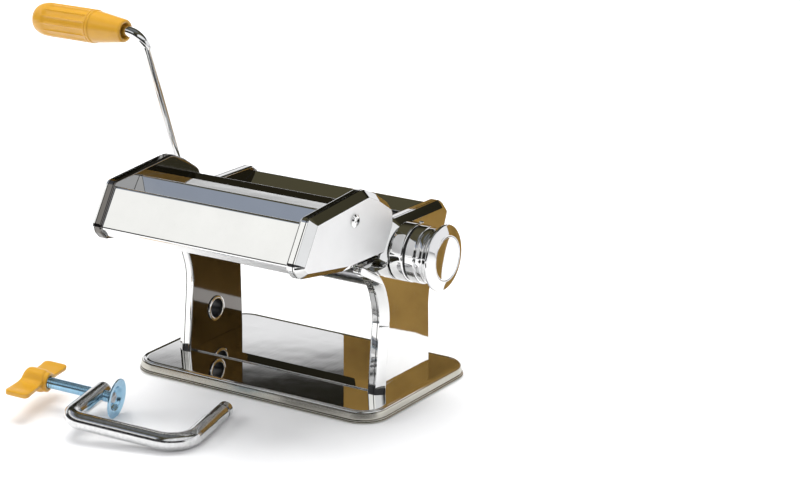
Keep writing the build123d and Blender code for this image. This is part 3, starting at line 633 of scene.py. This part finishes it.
def build_knob(looks):
    """Turned rings of the knob with rounded edges, and a dished cap."""
    centre = middle("knob_grip")
    place = along_x((0, centre.y, centre.z))
    skirt = [(88.6, 18.9), (87.9, 18.95), (87.8, 19.4), (87.9, 19.9), (88.2, 20.2), (88.7, 20.3),
             (96.9, 20.3), (97.5, 20.15), (97.95, 19.75), (98.1, 19.2), (98.2, 17.0)]
    grip = [(99.5, 17.0), (99.5, 18.9), (99.65, 19.45), (100.1, 19.8), (105.9, 19.8), (106.5, 19.6),
            (106.85, 19.1), (106.95, 18.5), (107.05, 18.2), (107.35, 18.2), (107.5, 18.5), (107.65, 18.85),
            (108.0, 19.0), (110.2, 19.0), (110.75, 18.8), (111.0, 18.3), (111.1, 17.75), (111.5, 17.6),
            (112.6, 17.7), (113.6, 18.3), (115.2, 20.1), (116.4, 21.5), (117.0, 22.2), (117.2, 22.45),
            (117.5, 22.75), (117.9, 22.8), (118.3, 22.7), (118.7, 22.4), (118.9, 21.9), (121.0, 16.95),
            (121.3, 16.4), (121.55, 16.0), (121.6, 15.6), (121.5, 15.25), (121.1, 15.1), (120.2, 15.05)]
    cap = [(120.3, 15.0), (121.3, 14.95), (121.45, 14.75), (121.45, 14.45)]
    cap += [(121.4 - 0.95 * (1 - (r / 14.4) ** 2), r) for r in (14.0, 12.0, 10.0, 8.0, 6.0, 4.0, 2.0, 0.0)]
    # The groove ring is coloured near black: painted shade in the groove between skirt and grip
    ring = [(98.0, 17.2), (98.2, 18.6), (98.5, 18.85), (99.2, 18.85), (99.5, 18.6), (99.7, 17.2)]
    for name, profile, look, node in (("knob_skirt_turned", skirt, "chrome_turned", "knob_skirt"),
                                      ("knob_grip_turned", grip, "chrome_turned", "knob_grip"),
                                      ("knob_cap_dished", cap, "chrome_turned", "knob_cap"),
                                      ("knob_ring_groove", ring, "black_plastic", "knob_ring")):
        vertices, faces = spun(profile, 128)
        make_piece(name, placed(vertices, place), faces, looks[look], "knob", node)


def coil(start, stop, radius, wire, turns):
    """Vertices and faces of a round wire wound along X."""
    steps, around = 40, 10
    rings = turns * steps + 1
    vertices, faces = [], []
    for ring in range(rings):
        share = ring / (rings - 1)
        angle = 2 * math.pi * share * turns
        for side in range(around):
            lean = 2 * math.pi * side / around
            out = radius + wire * math.cos(lean)
            vertices.append((start + (stop - start) * share + wire * math.sin(lean),
                             out * math.cos(angle), out * math.sin(angle)))
    for ring in range(rings - 1):
        for side in range(around):
            near, after = ring * around, (side + 1) % around
            faces.append((near + side, near + after, near + around + after, near + around + side))
    faces.append(tuple(range(around)))
    faces.append(tuple(reversed(range((rings - 1) * around, rings * around))))
    return vertices, faces


def build_spring(looks):
    """Coil spring round the knob's hub, built at one fixed length; on the real knob it shortens against the
    stop ring as the knob is pulled.
    """
    low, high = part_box("knob_spring")
    centre = middle("knob_spring")
    radius = (high.z - low.z) / 2 / MM - SPRING_WIRE
    vertices, faces = coil(low.x / MM + SPRING_WIRE, high.x / MM - SPRING_WIRE, radius, SPRING_WIRE,
                           SPRING_TURNS)
    spring = make_piece("coiled_spring", placed(vertices, along_x((0, centre.y, centre.z))), faces,
                        looks["steel"], "regulator", "knob_spring")
    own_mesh(spring)


# ---------------------------------------------------------------- table clamp

def clamp_frame():
    """The screw's frame, with its origin where the screw passes through the bar."""
    joint = joint_record("screw_turn")
    return screw_frame(joint["pos_m"], joint["axis"])


def along_screw(node, place):
    """Where the node's middle lies along the screw, in millimetres from the eye."""
    return (place.inverted() @ middle(node)).x / MM


def build_screw(looks, place):
    """Screw with a rolled thread and its riveted nose."""
    wing = along_screw("clamp_wing", place)
    disc = along_screw("clamp_disc", place) + 0.85

    def threaded(along, angle, radius):
        if radius < 3.9:
            return radius
        share = (along / THREAD_PITCH - angle / (2 * math.pi)) % 1.0
        fade = smoothstep(disc - 4.0 - along, 0.0, 1.2)
        return radius - THREAD_DEPTH * (1 - abs(share * 2 - 1)) * fade

    start, stop = wing + 3.0, disc - 3.4
    steps = int((stop - start) / THREAD_PITCH * 8)
    profile = [(start, 0.0), (start, THREAD_RADIUS)]
    profile += [(start + (stop - start) * step / steps, THREAD_RADIUS) for step in range(steps + 1)]
    profile += [(stop + 0.05, 3.5), (stop + 0.3, 2.45), (disc - 1.6, 2.45)]
    vertices, faces = spun(profile, 28, threaded)
    make_piece("rolled_screw", placed(vertices, place), faces, looks["zinc_blue"], "screw", "clamp_screw")

    def starred(along, angle, radius):
        return radius * (1 + 0.13 * math.cos(5 * angle) * smoothstep(along, disc - 2.4, disc - 0.9))

    rivet = [(disc - 2.5, 2.5), (disc - 2.4, 3.7), (disc - 1.7, 3.85), (disc - 1.0, 3.4), (disc - 0.7, 2.6),
             (disc - 0.8, 1.7), (disc - 1.3, 1.0), (disc - 1.4, 0.0)]
    vertices, faces = spun(rivet, 60, starred)
    make_piece("screw_rivet", placed(vertices, place), faces, looks["steel"], "screw")


def build_disc(looks, place):
    """Pressed swivel disc: flat ring, rolled rim and a deep dished middle."""
    at = along_screw("clamp_disc", place) + 0.85
    full = DISC_RADIUS
    segments = 96
    profile = [(-2.5, 2.56), (-2.45, 5.4), (-2.2, 6.2), (-1.4, 7.2), (-0.2, 8.0), (0.45, 8.5), (0.72, 9.2),
               (1.0, 12.6), (1.12, 13.1), (1.2, 13.4), (1.1, 13.68), (0.85, full), (0.5, full), (0.3, 13.6),
               (0.15, 13.2), (-0.05, 12.0), (-0.25, 9.2), (-0.5, 8.6), (-1.6, 7.3), (-2.5, 6.5), (-2.85, 6.0),
               (-2.9, 5.2), (-2.9, 2.56)]
    vertices, faces = spun([(at + along, radius) for along, radius in profile], segments)
    faces = [tuple(reversed(face)) for face in faces[:-2]]
    last = (len(profile) - 1) * segments
    for step in range(segments):
        after = (step + 1) % segments
        faces.append((last + step, last + after, after, step))
    make_piece("swivel_disc", placed(vertices, place), faces, looks["zinc_blue"], "pad", "clamp_disc")


def rounded_end(off, radius):
    """How far the wing's outline has fallen back where it rounds off at its end."""
    past = max(off - (WING_REACH - radius), 0.0)
    return radius - math.sqrt(max(radius ** 2 - past ** 2, 0.0))


def wing_section(across):
    """Half width along the screw, half height and squareness of the wing knob's section."""
    off = abs(across)
    blend = smoothstep(off, 4.2, 13.0)
    hub = math.sqrt(WING_HUB ** 2 - min(off, 7.2) ** 2)
    height = hub * (1 - blend) + 1.45 * blend + 0.35 * smoothstep(off, 22.0, 29.0)
    height -= rounded_end(off, 1.1)
    width = 8.0 + 0.5 * smoothstep(off, 10.0, 28.0) - rounded_end(off, 3.5)
    return width, max(height, 0.4), 4.5 + 2.5 * blend


def build_wing(looks, place):
    """Moulded wing knob: the hub arches over the screw and runs out into two flat wings."""
    at = along_screw("clamp_wing", place) - 0.5
    sections, count = 91, 48
    vertices, faces = [], []
    for station in range(sections):
        share = -1 + 2 * station / (sections - 1)
        across = WING_REACH * math.sin(share * math.pi / 2)
        vertices += [(at + x, across, z) for x, z in superellipse(*wing_section(across), count)]
    for ring in range(sections - 1):
        for step in range(count):
            after = (step + 1) % count
            faces.append((ring * count + step, (ring + 1) * count + step,
                          (ring + 1) * count + after, ring * count + after))
    faces.append(tuple(range(count)))
    faces.append(tuple(reversed(range((sections - 1) * count, sections * count))))
    collar = [(at + 6.0, 0.0), (at + 6.0, 6.9), (at + 8.4, 6.9), (at + 9.6, 6.6), (at + 10.0, 6.1),
              (at + 10.0, 5.4), (at + 9.8, 4.6), (at + 8.0, 4.2), (at + 8.0, 0.0)]
    more, sides = spun(collar, 64)
    faces += [tuple(index + len(vertices) for index in side) for side in sides]
    vertices += more
    make_piece("moulded_wing", placed(vertices, place), faces, looks["yellow_plastic"], "screw",
               "clamp_wing")


# ---------------------------------------------------------------- finish of the CAD nodes

NODE_LOOKS = {
    "chrome": ["knob_pointer", "cutter_cap_screws"],
    "chrome_rod": ["crank_rod"],
    "chrome_bar": ["clamp_bar"],
    "steel": ["foot_screws", "tie_rods", "gear_bridge", "bridge_spacers", "locating_pins", "drive_shaft",
              "drive_gear", "eccentric_axle", "axle_stop_ring", "front_roller_hubs", "front_gear",
              "knob_index_pin", "knob_spring", "cutter_tie_rods", "wide_front_gear", "wide_rear_gear",
              "narrow_front_gear", "narrow_rear_gear"],
    "roller_steel": ["rear_roller", "front_roller", "wide_front_cutter", "wide_rear_cutter",
                     "narrow_front_cutter", "narrow_rear_cutter"],
    "rubber": ["base_pad"],
    "bronze": ["front_roller_bushes"],
    "nylon": ["front_scraper", "rear_scraper", "drive_bushes", "regulator_bushes", "wide_combs",
              "narrow_combs"],
}


# node: body, look, edge radius in millimetres
FORMED = {
    "left_cover": ("frame", "chrome", 0.9),
    "right_cover": ("frame", "chrome", 0.9),
    "left_cutter_cap": ("cutter", "chrome", 0.9),
    "right_cutter_cap": ("cutter", "chrome", 0.9),
    "left_side_plate": ("frame", "chrome", 0.3),
    "right_side_plate": ("frame", "chrome", 0.3),
    # The left cutter plate and the cutter's rear plate take the darkened chrome: painted shade
    "left_cutter_plate": ("cutter", "chrome_painted_shade", 0.3),
    "right_cutter_plate": ("cutter", "chrome", 0.3),
    "cutter_front_plate": ("cutter", "chrome_flat", 0.35),
    "cutter_middle_plate": ("cutter", "chrome", 0.35),
    "cutter_rear_plate": ("cutter", "chrome_painted_shade", 0.35),
    "rear_hood": ("frame", "chrome_flat", 0.35),
    "front_hood": ("frame", "chrome_flat", 0.35),
    "floor_plate": ("frame", "chrome_flat", 0.3),
}


# node: look of its flat faces that look to +X, darker as painted shade or whitened as a painted highlight
FLAT_LOOKS = {
    "left_side_plate": "chrome_painted_shade",
    "left_cutter_plate": "chrome_dim_painted_shade",
    "right_cutter_cap": "satin_painted_highlight",
}


def finish_nodes(looks):
    for look, names in NODE_LOOKS.items():
        for name in names:
            for slot in NODES[name].material_slots:
                slot.material = looks[look]


looks = make_materials()
build_stage()
build_reflectors()
build_camera()
finish_nodes(looks)
for node, (body, look, width) in FORMED.items():
    piece = refined(node, body, looks[look], width)
    if node in FLAT_LOOKS:
        paint_light_on_flat(piece, looks[FLAT_LOOKS[node]])
build_tray(looks)
build_sleeve(looks)
build_grip(looks)
build_knob(looks)
build_spring(looks)
screw_place = clamp_frame()
build_screw(looks, screw_place)
build_disc(looks, screw_place)
build_wing(looks, screw_place)
bpy.context.scene.view_settings.view_transform = "Standard"
